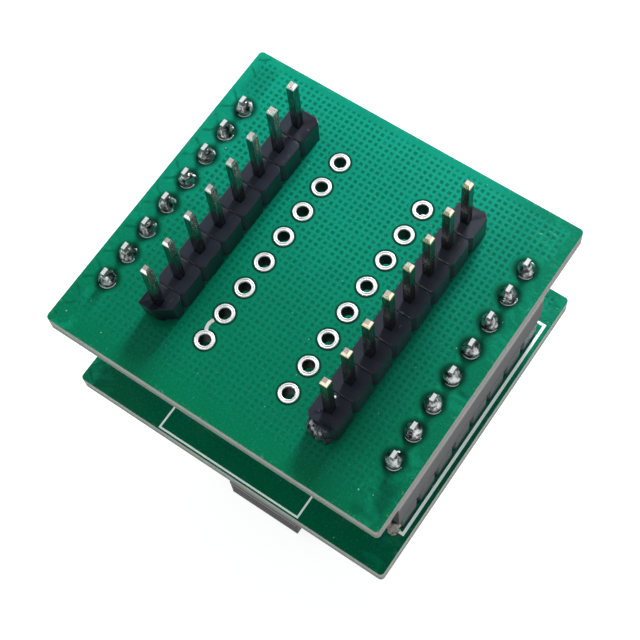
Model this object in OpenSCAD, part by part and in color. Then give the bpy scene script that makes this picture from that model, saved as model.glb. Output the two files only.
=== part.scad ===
// Programming adapter for a surface mount chip: a base board with two rows of header pins,
// plugged on to a second board that carries a clamshell test socket.
// +Z points the way the header pins point. Z = 0 is the outer face of the test socket's lid,
// X runs across the pin rows and Y along them. The lid's hinge is at +Y and its latch at -Y.

/* [Boards] */
// Size of both boards across the pin rows
board_w = 30; // [29.2:0.1:34]
// Size of both boards along the pin rows
board_l = 28; // [26.5:0.1:32]
// Thickness of both boards
board_t = 1.6; // [1.2:0.1:2]
// Corner radius of both boards
board_r = 0.35; // [0.2:0.05:1.5]
// Radius of the drilled holes for header pins and strip tails
pin_hole_r = 0.5; // [0.48:0.01:0.55]

/* [Grid] */
// Distance from one pin to the next in a row
pitch = 2.54; // [2.45:0.01:2.6]
// Number of pins in a row
row_pins = 8; // [4:1:9]
// Distance between the two rows of header pins
header_rows = 15.24; // [14.9:0.02:16.6]
// Distance between the two rows of empty plated holes
option_rows = 7.62; // [6.6:0.02:8.4]
// Distance between the two rows that join the boards
strip_rows = 26; // [24.8:0.1:26.4]

/* [Plated holes] */
// Radius of an empty plated hole
option_hole_r = 0.5; // [0.4:0.01:0.6]
// Thickness of the plating in the hole
plating_t = 0.05; // [0.03:0.01:0.1]
// Radius of the tinned ring round the hole
ring_r = 0.775; // [0.7:0.005:0.9]
// Height of the tinned ring above the board
ring_t = 0.08; // [0.04:0.01:0.15]
// Width of the bare tinned trace
trace_w = 0.28; // [0.2:0.01:0.4]
// Height of the bare trace above the board
trace_t = 0.06; // [0.03:0.01:0.08]
// Radius of the trace's bend
trace_r = 0.9; // [0.8:0.05:1]

/* [Header strips] */
// Width of a header strip's plastic
header_w = 2.5; // [2.2:0.05:2.54]
// Height of a header strip's plastic
header_h = 2.4; // [2:0.1:2.8]
// Cut at each corner of a segment
header_chamfer = 0.32; // [0.2:0.02:0.6]
// Width of the snap grooves between the segments
snap_groove_w = 0.22; // [0.1:0.02:0.4]
// Side of a square pin
pin_w = 0.64; // [0.5:0.02:0.66]
// Length of pin beyond the plastic
pin_out = 5.7; // [5:0.1:6.2]
// Length of pin beyond the soldered side of the board
pin_tail = 1.1; // [0.9:0.1:1.3]
// Length of the bevel at a pin's end
pin_bevel = 0.4; // [0.2:0.05:0.6]
// How far the bevel takes each side in
pin_bevel_in = 0.14; // [0.05:0.01:0.2]
// Length of the torn web left on the snapped end of one strip
torn_web = 0.6; // [0.4:0.05:0.9]
// Length missing from the other strip, where it was snapped short
snap_short = 0.36; // [0.1:0.02:0.5]
// Lean of that break, in under the top, in degrees
snap_lean = 7; // [0:1:10]

/* [Socket strips] */
// Width of a socket strip
strip_w = 2.5; // [2.4:0.05:2.8]
// Height of a socket strip
strip_h = 8.5; // [8.2:0.1:9]
// Spare length at each end of a socket strip
strip_end = 0.2; // [0:0.05:0.4]
// Side of the square mouth that takes a pin
mouth = 0.9; // [0.8:0.02:1]
// Thickness of the strip's floor round the mouth
mouth_floor = 1; // [0.8:0.1:1.4]
// Size of a contact chamber across the strip
chamber_x = 1.7; // [1.6:0.02:1.8]
// Size of a contact chamber along the strip
chamber_y = 1.4; // [1.1:0.05:1.6]
// Thickness of the contact's sheet metal
leaf_t = 0.2; // [0.12:0.01:0.24]
// Width of the contact's leaves
leaf_w = 0.9; // [0.6:0.05:1]
// Width of the contact's solder tail
tail_w = 0.6; // [0.4:0.02:0.64]
// Thickness of the contact's solder tail
tail_t = 0.3; // [0.2:0.02:0.4]
// Length of the tail above the base board
tail_out = 1.35; // [1.1:0.05:1.6]

/* [Solder] */
// Radius of a solder joint at the board
solder_r = 0.85; // [0.7:0.01:0.95]
// Radius of a solder joint at its top
solder_top_r = 0.42; // [0.35:0.01:0.5]
// Height of a solder joint
solder_h = 1; // [0.6:0.05:1.05]
// Radius of the small joints under the test socket
small_solder_r = 0.55; // [0.45:0.01:0.6]
// Height of the small joints
small_solder_h = 0.7; // [0.4:0.05:0.9]

/* [Test socket base] */
// Size of the test socket across the rows
sock_w = 13.7; // [13.5:0.1:15]
// Height of the socket's base on its board
base_h = 9.4; // [9.2:0.1:10.4]
// Distance from the middle of the socket to its front
front_l = 10.6; // [10.2:0.1:11.4]
// Distance from the middle of the socket to its back
back_l = 12.2; // [11.9:0.1:13.4]
// Bevel on the outer edges of the base and the lid
edge = 0.4; // [0.2:0.05:0.5]
// Depth of the nest that the chip lies in
nest_depth = 3.3; // [2.8:0.1:3.4]
// Size of the nest along the rows
nest_l = 10.7; // [10.5:0.1:11.2]
// Size of the nest across the rows
nest_w = 10.9; // [10.6:0.1:11]
// Width of the middle table that carries the chip's body
table_w = 6.8; // [6:0.1:7]
// Height of the table above the nest's floor
table_h = 0.4; // [0.2:0.05:0.6]
// Radius of the two locating pegs
peg_r = 0.75; // [0.5:0.05:0.9]
// Length of peg that shows past the board
peg_out = 0.4; // [0.2:0.05:0.6]

/* [Chip contacts] */
// Distance from one chip contact to the next
chip_pitch = 1.27; // [1.2:0.01:1.3]
// Chip contacts on each side
chip_pins = 8; // [4:1:8]
// Thickness of a chip contact
finger_t = 0.4; // [0.25:0.01:0.45]
// Width of a chip contact's solder tail
foot_w = 0.4; // [0.3:0.01:0.42]
// Length of contact tail beyond the board
foot_out = 1.1; // [0.9:0.05:1.3]
// Height of a contact's foot, under the stopper plate
foot_h = 0.75; // [0.5:0.05:0.8]
// Gap between a chip contact and its slot
slot_gap = 0.1; // [0.05:0.01:0.12]
// Distance from the middle to the contact tips
tip_x = 4.7; // [4.5:0.05:4.8]
// How far the tips stand out of the nest's floor
tip_out = 0.3; // [0.1:0.05:0.4]
// Outer radius of a contact's spring bow
bow_r = 1.15; // [1.05:0.01:1.2]
// Width of metal in the bow
bow_w = 0.34; // [0.25:0.01:0.4]
// Distance from the middle to the inner row of tails
tail_in_x = 3.3; // [3.2:0.01:3.5]
// Distance from the middle to the outer row of tails
tail_out_x = 5.84; // [5.6:0.01:5.86]
// Radius of the holes for the contact tails
small_hole_r = 0.4; // [0.35:0.01:0.42]
// Thickness of the plate that holds the contacts in
stopper_t = 1.3; // [1:0.05:1.4]
// Plastic of that plate beyond the outer tails
stopper_rim = 0.3; // [0.25:0.01:0.34]

/* [Lid] */
// Thickness of the closed lid
lid_h = 7.5; // [7.2:0.1:8.2]
// Radius of the hinge pin
hinge_r = 0.75; // [0.6:0.05:0.85]
// Radius of the knuckles round the hinge pin
knuckle_r = 1.6; // [1.45:0.05:1.65]
// Distance from the axis of the hinge to the back of the base
hinge_in = 1.6; // [1.6:0.05:1.8]
// Distance from the axis of the hinge to the top of the lid
hinge_down = 0.6; // [0.4:0.05:0.8]
// Width of the lid's knuckle
knuckle_w = 8.8; // [8:0.1:9.4]
// Depth of the panel in the lid's outer face
panel_depth = 0.5; // [0.3:0.05:0.8]
// Width of the rim beside the panel
rim_w = 2.4; // [2:0.1:3]
// Size of the pressure pad across the rows
pad_w = 10.4; // [10.3:0.1:10.8]
// Size of the pressure pad along the rows
pad_l = 12; // [11:0.1:12.4]
// Thickness of the pressure pad
pad_t = 2.2; // [1.8:0.1:2.6]
// Length of the pad's two pressing rails
rail_l = 9.4; // [9:0.1:9.6]
// Width of the pressing rails
rail_w = 0.7; // [0.5:0.05:0.8]
// Gap left for a chip's leads between rails and contacts
lead_gap = 0.4; // [0.3:0.05:0.6]
// Radius of the pad's two riveted studs
stud_r = 0.8; // [0.6:0.05:1]

/* [Latch] */
// Width of the latch
latch_w = 7.3; // [6.5:0.1:7.6]
// Height of the latch's axis above the lid's outer face
latch_z = 3.9; // [3.7:0.05:4.2]
// Distance from the latch's axis to the front of the lid
latch_in = 1.2; // [1.15:0.05:1.3]
// Radius of the latch pin
latch_pin_r = 0.5; // [0.4:0.05:0.55]
// Radius of the latch's body round its pin
latch_boss_r = 1.1; // [1:0.05:1.15]
// Thickness of the latch's arm
arm_t = 1.15; // [1:0.05:1.2]
// How far the hooked arm stands out of the lid's front
arm_out = 0.7; // [0.6:0.05:0.75]
// Turn of the latch from hooked to released, in degrees
latch_turn = 8.5; // [8.5:0.1:9]
// How far the hook reaches over its ledge
hook_reach = 0.55; // [0.45:0.05:0.6]
// Height of the hook
hook_h = 1.1; // [0.9:0.1:1.2]
// Height of the ledge that the hook holds on to
ledge_h = 1.7; // [1.5:0.1:1.8]
// How far the thumb piece stands out of the lid's front
thumb_out = 1; // [0.8:0.05:1.1]
// Height of the thumb piece
thumb_h = 2.9; // [2.6:0.1:3]
// Height of the thumb piece above the plane of the lid's outer face
thumb_z = 0.3; // [0.2:0.05:0.4]

/* [Springs] */
// Wire radius of the torsion spring round the hinge pin
lid_wire_r = 0.18; // [0.12:0.01:0.2]
// Turns of the torsion spring
lid_spring_turns = 4; // [3:1:5]
// Width of the slot for the torsion spring in the lid's knuckle
spring_slot_w = 3.2; // [3:0.1:3.6]
// Length of the spring's leg that lies in the lid's groove
lid_leg = 1.6; // [1.2:0.1:1.8]
// Length of the spring's leg in the base
base_leg = 1.2; // [0.8:0.1:1.5]
// Wire radius of the latch's coil spring
latch_wire_r = 0.12; // [0.08:0.01:0.14]
// Turns of the latch's coil spring
latch_spring_turns = 5; // [4:1:6]
// Outer radius of the latch's coil spring
latch_spring_r = 0.65; // [0.55:0.01:0.7]
// Depth of the bore in the lid for the latch's coil spring
spring_bore = 1.9; // [1.6:0.1:2]

/* [Fits] */
// Gap between the two halves where they plug together
seat_gap = 0.05; // [0.02:0.01:0.1]
// Gap between the closed lid and the base
part_gap = 0.1; // [0.05:0.01:0.2]
// Clearance of a pin in a turning part
turn_gap = 0.05; // [0.03:0.01:0.08]
// Gap beside a turning part
side_gap = 0.2; // [0.15:0.01:0.3]
// Gap between a plug pin and its spring contact
contact_gap = 0.02; // [0.01:0.01:0.04]
// Gap between a spring and the faces that it presses on
spring_gap = 0.03; // [0.02:0.01:0.05]
// Gap round a part that lies in a pocket
pocket_gap = 0.05; // [0.02:0.01:0.1]

/* [Hidden] */
$fn = 48;
eps = 0.01;

row_l = (row_pins - 1) * pitch;
strip_l = row_pins * pitch;
sock_h = lid_h + part_gap + base_h;
far_z = sock_h;
near_z = far_z + board_t;
plug_z = near_z + header_h;
strip_z = plug_z + seat_gap;
inner_z = strip_z + strip_h;
face_z = inner_z + board_t;
head_z = face_z + header_h;
base_z = lid_h + part_gap;
floor_z = base_z + nest_depth;
tip_z = floor_z - tip_out;
hinge_y = back_l - hinge_in;
hinge_z = lid_h - hinge_down;
latch_y = -front_l + latch_in;
ledge_top = base_z + ledge_h;
hook_z = ledge_top + part_gap;
latch_slot_w = latch_w + 2 * side_gap;
knuckle_slot_w = knuckle_w + 2 * side_gap;
stopper_z = far_z - stopper_t;
stopper_w = 2 * (tail_out_x + foot_w / 2 + stopper_rim);
stopper_l = (chip_pins - 1) * chip_pitch + 2.3;
contact_slot_w = finger_t + 2 * slot_gap;
foot_z = stopper_z - foot_h;
bow_x = tip_x + 0.35;
contact_end_x = bow_x + bow_r + slot_gap;
bow_z = tip_z + 2.25;
peg_y = stopper_l / 2 + peg_r + 1.2;
peg_x = 5;
pad_z = lid_h - 0.2;
lid_back = hinge_y - knuckle_r - side_gap;
arm_y = -front_l - arm_out;
arm_in_y = arm_y + arm_t;
ledge_y = arm_in_y + part_gap;
hook_y = ledge_y + hook_reach;
slot_wall_y = latch_y + latch_boss_r + side_gap;
hook_rise = 2.2;
heel_y = slot_wall_y - part_gap;
heel_h = 1.9;
latch_spring_z = thumb_z + heel_h / 2;
coil_r = hinge_r + turn_gap + lid_wire_r;
coil_x = spring_slot_w / 2 - side_gap - lid_wire_r;
room_z = hinge_z + knuckle_r + side_gap;

plastic = [0.12, 0.125, 0.16];
dark_plastic = [0.10, 0.105, 0.12];
steel = [0.72, 0.73, 0.75];
solder = [0.62, 0.64, 0.66];
gold = [0.85, 0.74, 0.46];
mask_green = [0.03, 0.50, 0.36];

// Two prisms crossed at right angles make a square pin with all four sides bevelled at both ends
module pin_profile(low, high) {
  polygon([
    [-pin_w / 2 + pin_bevel_in, low],
    [pin_w / 2 - pin_bevel_in, low],
    [pin_w / 2, low + pin_bevel],
    [pin_w / 2, high - pin_bevel],
    [pin_w / 2 - pin_bevel_in, high],
    [-pin_w / 2 + pin_bevel_in, high],
    [-pin_w / 2, high - pin_bevel],
    [-pin_w / 2, low + pin_bevel]
  ]);
}

module square_pin(low, high) {
  intersection() {
    rotate([90, 0, 0]) linear_extrude(pin_w, center = true) pin_profile(low, high);
    rotate([90, 0, 90]) linear_extrude(pin_w, center = true) pin_profile(low, high);
  }
}

// Puts its child at each place of one row of the 2.54 mm grid
module along_row(x) {
  for (i = [0 : row_pins - 1]) translate([x, i * pitch - row_l / 2, 0]) children();
}

// Puts its child at each chip contact's place along the nest
module along_chip(first = 0, step = 1) {
  for (i = [first : step : chip_pins - 1])
    translate([0, (i - (chip_pins - 1) / 2) * chip_pitch, 0]) children();
}

module on_side(side) {
  if (side > 0) children();
  else mirror([1, 0, 0]) children();
}

// Board blank with rounded corners
module board_blank(z) {
  w = board_w / 2 - board_r;
  l = board_l / 2 - board_r;
  translate([0, 0, z]) linear_extrude(board_t) union() {
    square([board_w, 2 * l], center = true);
    square([2 * w, board_l], center = true);
    for (x = [-w, w]) for (y = [-l, l]) translate([x, y]) circle(board_r);
  }
}

module drill(z, r) {
  translate([0, 0, z - 1]) cylinder(h = board_t + 2, r = r);
}

module base_board() {
  color(mask_green) difference() {
    board_blank(inner_z);
    for (x = [-1, 1]) along_row(x * option_rows / 2) drill(inner_z, option_hole_r + plating_t);
    for (x = [-1, 1]) along_row(x * header_rows / 2) drill(inner_z, pin_hole_r);
    for (x = [-1, 1]) along_row(x * strip_rows / 2) drill(inner_z, pin_hole_r);
  }
}

// Tinned barrel through the board with a ring on each face
module plated_hole() {
  difference() {
    union() {
      translate([0, 0, inner_z]) cylinder(h = board_t, r = option_hole_r + plating_t);
      translate([0, 0, face_z]) cylinder(h = ring_t, r = ring_r);
      translate([0, 0, inner_z - ring_t]) cylinder(h = ring_t, r = ring_r);
    }
    translate([0, 0, inner_z - 1]) cylinder(h = board_t + 2, r = option_hole_r);
  }
}

module plated_holes(side) {
  color(solder) along_row(side * option_rows / 2) plated_hole();
}

// Short bare trace that leaves the last hole of the left row in an arc
module bare_trace() {
  bend_x = 0.39;
  bend_y = 1.19;
  color(solder) translate([-option_rows / 2, -row_l / 2, face_z]) difference() {
    translate([bend_x, bend_y, 0]) rotate([0, 0, 147]) rotate_extrude(angle = 78)
      translate([trace_r - trace_w / 2, 0]) square([trace_w, trace_t]);
    translate([0, 0, -1]) cylinder(h = 2, r = ring_r);
  }
}

// Outline of a header strip: a row of eight sided segments that meet at narrow necks
function strip_side(n) = [
  for (i = [0 : n - 1]) each [
    [header_w / 2 - header_chamfer, (i - n / 2) * pitch],
    [header_w / 2, (i - n / 2) * pitch + header_chamfer],
    [header_w / 2, (i + 1 - n / 2) * pitch - header_chamfer]
  ],
  [header_w / 2 - header_chamfer, n / 2 * pitch]
];

module strip_outline(n) {
  right = strip_side(n);
  polygon(concat(right, [for (p = right) [-p.x, -p.y]]));
}

// Ragged web of the next segment, left where the strip was snapped to length
module torn_end(reach) {
  neck = header_w / 2 - header_chamfer;
  translate([0, -strip_l / 2]) polygon([
    [-neck, eps],
    [-neck - 0.08, -reach * 0.6],
    [-neck * 0.75, -reach * 0.85],
    [-neck * 0.45, -reach * 0.5],
    [-neck * 0.1, -reach],
    [neck * 0.3, -reach * 0.55],
    [neck * 0.75, -reach * 0.8],
    [neck, -reach * 0.3],
    [neck, eps]
  ]);
}

// Break at the end of a strip that was snapped short: it leans in under the top and takes a corner off
module short_break(z) {
  corner_turn = 36;
  for (turn = [0, corner_turn])
    translate([0, snap_short - strip_l / 2, z + header_h]) rotate([0, 0, turn]) rotate([snap_lean, 0, 0])
      translate([-2 * header_w, -2 * header_w, -2 * header_h])
        cube([4 * header_w, 2 * header_w, 3 * header_h]);
}

// Header strip seen with its pins up, standing on z
module header_strip(z, torn) {
  difference() {
    translate([0, 0, z]) linear_extrude(header_h) strip_outline(row_pins);
    along_row(0) translate([0, 0, z + header_h / 2]) cube([pin_w, pin_w, header_h + 2], center = true);
    for (i = [1 : row_pins - 1]) translate([0, i * pitch - strip_l / 2, z + header_h]) rotate([45, 0, 0])
      cube([2 * header_w, snap_groove_w / sqrt(2), snap_groove_w / sqrt(2)], center = true);
  }
  if (torn) translate([0, 0, z]) {
    linear_extrude(header_h * 0.45) torn_end(torn_web);
    linear_extrude(header_h * 0.85) torn_end(torn_web * 0.6);
  }
}

module pin_header(side) {
  color(plastic) translate([side * header_rows / 2, 0, 0]) difference() {
    header_strip(face_z, side > 0);
    if (side < 0) short_break(face_z);
  }
}

module header_pins(side) {
  color(gold) along_row(side * header_rows / 2) square_pin(inner_z - pin_tail, head_z + pin_out);
}

// Cone of solder standing on z, with the lead's own outline cut out of it
module solder_cone(z, up, r, top_r, h, lead_x, lead_y) {
  difference() {
    translate([0, 0, z]) mirror([0, 0, up > 0 ? 0 : 1]) union() {
      cylinder(h = h * 0.3, r1 = r, r2 = r * 0.4 + top_r * 0.6);
      translate([0, 0, h * 0.3]) cylinder(h = h * 0.7, r1 = r * 0.4 + top_r * 0.6, r2 = top_r);
    }
    translate([0, 0, z]) cube([lead_x, lead_y, 2 * h + 2], center = true);
  }
}

module header_solder(side) {
  color(solder) along_row(side * header_rows / 2)
    solder_cone(inner_z, -1, solder_r, solder_top_r, solder_h, pin_w, pin_w);
}

// Strip with one closed chamber for each contact and a bevelled mouth for each pin
module socket_strip(side) {
  wall_l = strip_l + 2 * strip_end;
  color(dark_plastic) translate([side * strip_rows / 2, 0, 0]) difference() {
    translate([-strip_w / 2, -wall_l / 2, strip_z]) cube([strip_w, wall_l, strip_h]);
    along_row(0) {
      translate([0, 0, strip_z]) cube([mouth, mouth, 2 * mouth_floor + 1], center = true);
      translate([-chamber_x / 2, -chamber_y / 2, strip_z + mouth_floor])
        cube([chamber_x, chamber_y, strip_h]);
    }
  }
}

// Two bowed leaves that grip a pin, on a flat foot with a tail that goes through the board
module strip_contact() {
  leaf_in = pin_w / 2 + contact_gap;
  leaf_mid = chamber_x / 2 - leaf_t;
  low = strip_z + mouth_floor + 0.3;
  top = inner_z - 0.05;
  foot = top - 0.5;
  rotate([90, 0, 0]) linear_extrude(leaf_w, center = true) {
    for (s = [-1, 1]) scale([s, 1]) polygon([
      [leaf_mid, foot],
      [leaf_mid, foot - 2],
      [leaf_in, low + 1.2],
      [leaf_in + 0.12, low],
      [leaf_in + 0.12 + leaf_t, low],
      [leaf_in + leaf_t, low + 1.2],
      [leaf_mid + leaf_t, foot - 2],
      [leaf_mid + leaf_t, foot]
    ]);
    translate([-chamber_x / 2, foot]) square([chamber_x, 0.5]);
  }
  translate([-tail_t / 2, -tail_w / 2, foot]) cube([tail_t, tail_w, face_z + tail_out - foot]);
}

module strip_contacts(side) {
  color(gold) along_row(side * strip_rows / 2) strip_contact();
}

module strip_solder(side) {
  color(solder) along_row(side * strip_rows / 2)
    solder_cone(face_z, 1, solder_r, solder_top_r, solder_h, tail_t, tail_w);
}

module socket_board() {
  color(mask_green) difference() {
    board_blank(far_z);
    for (x = [-1, 1]) along_row(x * strip_rows / 2) drill(far_z, pin_hole_r);
    for (s = [-1, 1]) on_side(s) along_tails() drill(far_z, small_hole_r);
    for (s = [-1, 1]) translate([s * peg_x, -s * peg_y, 0]) drill(far_z, peg_r + pocket_gap);
  }
}

module plug_strip(side) {
  color(plastic) translate([side * strip_rows / 2, 0, 0]) header_strip(near_z, side > 0);
}

module plug_pins(side) {
  color(gold) along_row(side * strip_rows / 2) square_pin(far_z - pin_tail, plug_z + pin_out);
}

module plug_solder(side) {
  color(solder) along_row(side * strip_rows / 2)
    solder_cone(far_z, -1, solder_r, solder_top_r, solder_h, pin_w, pin_w);
}

// Block with bevelled upright edges, from z0 to z1 and from y0 to y1
module bevelled_block(w, y0, y1, z0, z1) {
  translate([0, 0, z0]) linear_extrude(z1 - z0) polygon([
    [-w / 2 + edge, y0],
    [w / 2 - edge, y0],
    [w / 2, y0 + edge],
    [w / 2, y1 - edge],
    [w / 2 - edge, y1],
    [-w / 2 + edge, y1],
    [-w / 2, y1 - edge],
    [-w / 2, y0 + edge]
  ]);
}

// Side view of one chip contact on the +X side, as it is stamped from the sheet
module contact_profile(tail_x) {
  bow_in = bow_r - bow_w;
  difference() {
    translate([bow_x, bow_z]) circle(bow_r);
    translate([bow_x, bow_z]) circle(bow_in);
    translate([bow_x - 2 * bow_r, bow_z - 2 * bow_r]) square([2 * bow_r, 4 * bow_r]);
  }
  // tip and the arm that joins it to the bow
  translate([tip_x, tip_z + bow_w / 2]) circle(bow_w / 2);
  translate([tip_x - bow_w / 2, tip_z + bow_w / 2]) square([bow_w, bow_z - bow_in - tip_z - bow_w / 2]);
  translate([tip_x - bow_w / 2, bow_z - bow_r]) square([bow_x - tip_x + bow_w / 2 + eps, bow_w]);
  // root of the bow, foot and tail
  translate([bow_x - 0.6, bow_z + bow_in]) square([0.6 + eps, foot_z - bow_z - bow_in + eps]);
  translate([tail_in_x - foot_w / 2, foot_z]) square([tail_out_x - tail_in_x + foot_w, foot_h]);
  translate([tail_x - foot_w / 2, stopper_z - eps]) square([foot_w, near_z + foot_out - stopper_z]);
}

module chip_contact(tail_x) {
  rotate([90, 0, 0]) linear_extrude(finger_t, center = true) contact_profile(tail_x);
}

// Every other contact has its tail in the inner row, and those between have it in the outer row
module along_tails() {
  along_chip(0, 2) translate([tail_in_x, 0, 0]) children();
  along_chip(1, 2) translate([tail_out_x, 0, 0]) children();
}

module chip_contacts(side) {
  color(gold) on_side(side) {
    along_chip(0, 2) chip_contact(tail_in_x);
    along_chip(1, 2) chip_contact(tail_out_x);
  }
}

module contact_solder(side) {
  color(solder) on_side(side) along_tails()
    solder_cone(near_z, 1, small_solder_r, small_solder_r * 0.6, small_solder_h, foot_w, finger_t);
}

// Moulded base of the test socket: nest, contact slots, hinge ears, latch ledge and pegs
module test_socket_base() {
  ear_w = (sock_w - knuckle_slot_w) / 2;
  color(dark_plastic) difference() {
    union() {
      bevelled_block(sock_w, -front_l, back_l, base_z, far_z);
      for (s = [-1, 1]) translate([s * (sock_w - ear_w) / 2, 0, 0]) hinge_ear(ear_w);
      for (s = [-1, 1]) translate([s * peg_x, -s * peg_y, far_z - eps])
        cylinder(h = board_t + peg_out + eps, r = peg_r);
    }
    nest();
    for (s = [-1, 1]) on_side(s) along_chip() contact_slot();
    // bed of the stopper plate
    translate([-stopper_w / 2 - pocket_gap, -stopper_l / 2 - pocket_gap, stopper_z])
      cube([stopper_w + 2 * pocket_gap, stopper_l + 2 * pocket_gap, stopper_t + 1]);
    // room for the lid's knuckle
    translate([-knuckle_slot_w / 2, lid_back, hinge_z - 2 * knuckle_r])
      cube([knuckle_slot_w, back_l, room_z - hinge_z + 2 * knuckle_r]);
    // hole for the upright leg of the torsion spring
    translate([-coil_x, hinge_y + coil_r, room_z - 1])
      cylinder(h = base_leg + slot_gap + 1, r = lid_wire_r + slot_gap);
    // room in front of the ledge for the latch's arm, and above it for the hook
    translate([-latch_slot_w / 2, -front_l - 1, base_z - 1])
      cube([latch_slot_w, ledge_y + front_l + 1, ledge_h + 1 + eps]);
    translate([-latch_slot_w / 2, -front_l - 1, ledge_top])
      cube([latch_slot_w, hook_y + part_gap + front_l + 1, hook_h + hook_rise]);
    translate([-sock_w, hinge_y, hinge_z]) rotate([0, 90, 0]) cylinder(h = 2 * sock_w, r = hinge_r);
  }
}

// Hollow for the chip, with a table left standing in the middle and a sloped lead-in at both sides
module nest() {
  slope = 0.6;
  difference() {
    translate([-nest_w / 2, -nest_l / 2, base_z - 1]) cube([nest_w, nest_l, nest_depth + 1]);
    translate([-table_w / 2, -nest_l, floor_z - table_h]) cube([table_w, 2 * nest_l, table_h + 1]);
  }
  for (s = [-1, 1]) translate([s * nest_w / 2, 0, base_z]) rotate([0, 45, 0])
    cube([slope, nest_l - 2 * slope, slope], center = true);
}

// Slot in which one contact can bend, with a wider part for its foot
module contact_slot() {
  tip_in_x = tip_x - bow_w / 2 - slot_gap;
  foot_in_x = tail_in_x - foot_w / 2 - slot_gap;
  translate([tip_in_x, -contact_slot_w / 2, floor_z - 1])
    cube([contact_end_x - tip_in_x, contact_slot_w, foot_z - floor_z + 1 + eps]);
  translate([foot_in_x, -contact_slot_w / 2, foot_z])
    cube([contact_end_x - foot_in_x, contact_slot_w, foot_h + eps]);
}

module hinge_ear(w) {
  rotate([90, 0, 90]) linear_extrude(w, center = true) union() {
    translate([hinge_y, hinge_z]) circle(knuckle_r);
    translate([hinge_y - knuckle_r, hinge_z]) square([2 * knuckle_r, base_z - hinge_z + edge]);
  }
}

module contact_stopper_plate() {
  color(dark_plastic) difference() {
    translate([-stopper_w / 2, -stopper_l / 2, stopper_z]) cube([stopper_w, stopper_l, stopper_t]);
    for (s = [-1, 1]) on_side(s) along_tails() translate([0, 0, far_z])
      cube([foot_w + slot_gap, finger_t + slot_gap, 3 * stopper_t], center = true);
  }
}

// Round wire along a path, with a direction square to the path given for each of its points
module wire(path, out, r) {
  sides = 8;
  last = len(path) - 1;
  points = [
    for (i = [0 : last])
      let (
        run = path[min(i + 1, last)] - path[max(i - 1, 0)],
        t = run / norm(run),
        a_raw = out[i] - (out[i] * t) * t,
        a = a_raw / norm(a_raw),
        b = cross(t, a)
      )
      for (k = [0 : sides - 1]) path[i] + r * (cos(360 * k / sides) * a + sin(360 * k / sides) * b)
  ];
  polyhedron(points, concat(
    [[for (k = [0 : sides - 1]) k]],
    [[for (k = [sides - 1 : -1 : 0]) last * sides + k]],
    [
      for (i = [0 : last - 1])
        for (k = [0 : sides - 1])
          let (j = (k + 1) % sides)
          [i * sides + k, (i + 1) * sides + k, (i + 1) * sides + j, i * sides + j]
    ]
  ));
}

// Torsion spring that pops the lid open: one leg stands in the base, the other lies on the lid
module hinge_spring() {
  steps = 20;
  turn_end = lid_spring_turns + 0.25;
  count = steps * turn_end;
  angles = [for (i = [0 : count]) -360 * i / steps];
  path = concat(
    [[-coil_x, hinge_y + coil_r, room_z + base_leg]],
    [for (i = [0 : count])
      [coil_x * (2 * i / count - 1), hinge_y + coil_r * cos(angles[i]), hinge_z + coil_r * sin(angles[i])]],
    [[coil_x, lid_back - lid_leg + side_gap, hinge_z - coil_r]]
  );
  out = concat([[0, 1, 0]], [for (a = angles) [0, cos(a), sin(a)]], [[0, 0, -1]]);
  color(steel) wire(path, out, lid_wire_r);
}

module hinge_pin() {
  color(steel) translate([-sock_w / 2 + 0.1, hinge_y, hinge_z]) rotate([0, 90, 0])
    cylinder(h = sock_w - 0.2, r = hinge_r);
}

// Moulded lid: pocket for the pad, slot for the latch, panel in the outer face and hinge knuckle
module lid() {
  panel_w = sock_w - 2 * rim_w;
  notch = 0.9;
  groove_w = 2 * (lid_wire_r + slot_gap);
  color(dark_plastic) difference() {
    union() {
      lid_block();
      lid_knuckle();
    }
    // slot for the torsion spring, with a groove for its leg
    translate([-spring_slot_w / 2, lid_back, -1]) cube([spring_slot_w, back_l, lid_h + 2 * knuckle_r]);
    translate([coil_x - groove_w / 2, lid_back - lid_leg, hinge_z - coil_r - lid_wire_r - spring_gap])
      cube([groove_w, lid_leg + eps, lid_h]);
    // bore for the latch's coil spring
    translate([0, slot_wall_y - eps, latch_spring_z]) rotate([-90, 0, 0])
      cylinder(h = spring_bore + eps, r = latch_spring_r + slot_gap);
    translate([-pad_w / 2 - pocket_gap, -pad_l / 2 - pocket_gap, pad_z - pad_t])
      cube([pad_w + 2 * pocket_gap, pad_l + 2 * pocket_gap, pad_t + 2]);
    for (y = [-1, 1]) translate([0, y * pad_l / 4, -1]) cylinder(h = lid_h, r = stud_r);
    translate([-panel_w / 2, -pad_l / 2, -1]) cube([panel_w, pad_l, 1 + panel_depth]);
    translate([-latch_slot_w / 2, -front_l - 1, -1])
      cube([latch_slot_w, slot_wall_y + front_l + 1, lid_h + 2]);
    translate([-sock_w, latch_y, latch_z]) rotate([0, 90, 0]) cylinder(h = 2 * sock_w, r = latch_pin_r);
    translate([-sock_w, hinge_y, hinge_z]) rotate([0, 90, 0])
      cylinder(h = 2 * sock_w, r = hinge_r + turn_gap);
    // finger notches in both sides
    for (s = [-1, 1]) for (y = [-1 : 1]) translate([s * sock_w / 2, y * notch * 2, 0])
      rotate([0, 0, 45]) cube([notch, notch, lid_h], center = true);
  }
}

// Side outline that bevels both edges of the lid's outer face
module outer_bevel(low, high) {
  polygon([
    [low + edge, 0],
    [high - edge, 0],
    [high, edge],
    [high, lid_h],
    [low, lid_h],
    [low, edge]
  ]);
}

module lid_block() {
  intersection() {
    bevelled_block(sock_w, -front_l, lid_back, 0, lid_h);
    rotate([90, 0, 90]) linear_extrude(2 * sock_w, center = true) outer_bevel(-front_l, lid_back);
    rotate([90, 0, 0]) linear_extrude(3 * back_l, center = true) outer_bevel(-sock_w / 2, sock_w / 2);
  }
}

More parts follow.
